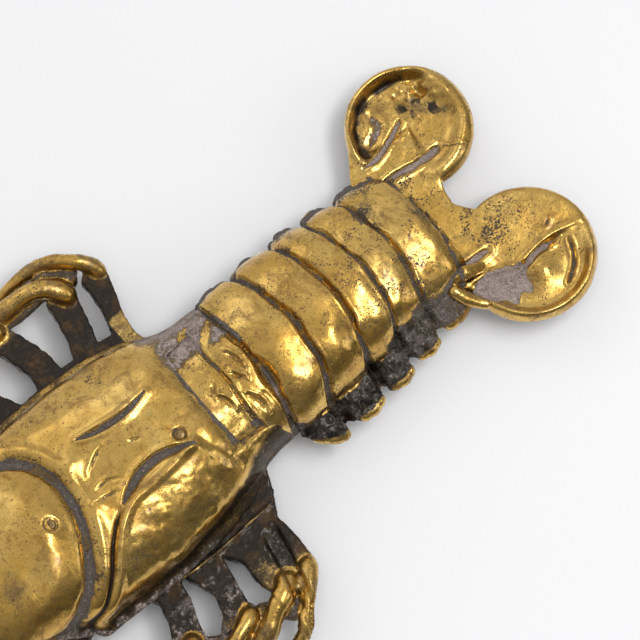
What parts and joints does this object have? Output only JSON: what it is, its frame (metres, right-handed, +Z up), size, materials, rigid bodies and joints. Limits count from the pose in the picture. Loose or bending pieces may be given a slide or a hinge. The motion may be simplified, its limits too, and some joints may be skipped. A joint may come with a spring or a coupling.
{
  "type": "lobster cracker",
  "caption": "Cast brass cracker shaped as a lobster: the back with its tail lifts on a cross pin at the head and works a toothed jaw against the belly lever.",
  "frame": {"origin": "on the table, under the middle of the bounding box", "axes": "+X towards the head and claws, +Y to the lobster's left, +Z up"},
  "size_m": [0.233, 0.1092, 0.0272],
  "materials": {
    "polished_brass": "cast, hand polished on the high spots, with dark grime left in the grooves",
    "raw_brass": "as cast, dull and dark",
    "rivet_brass": "peened and filed flush",
    "wire_brass": "drawn wire, aged",
    "jaw_steel": "milled, with a worn edge",
    "pin_steel": "turned"
  },
  "bodies": {
    "belly": {"belly_casting": "raw_brass", "lower_jaw": "jaw_steel", "lower_jaw_rivets": "rivet_brass", "hinge_pin": "pin_steel", "hinge_washers": "pin_steel", "left_leg_casting": "polished_brass", "right_leg_casting": "polished_brass", "left_leg_rivets": "rivet_brass", "right_leg_rivets": "rivet_brass", "left_claw_casting": "polished_brass", "right_claw_casting": "polished_brass", "left_claw_rivet": "rivet_brass", "right_claw_rivet": "rivet_brass", "head_casting": "polished_brass", "head_rivet": "rivet_brass", "left_eye": "polished_brass", "right_eye": "polished_brass", "left_antenna": "wire_brass", "right_antenna": "wire_brass"},
    "back": {"back_casting": "polished_brass", "upper_jaw": "jaw_steel", "upper_jaw_rivets": "rivet_brass"}
  },
  "joints": [
    {"name": "back_hinge", "type": "hinge", "parent": "belly", "child": "back", "pos_m": [0.044, 0, 0.014], "axis": [0, 1, 0], "range_deg": [0, 48]}
  ]
}
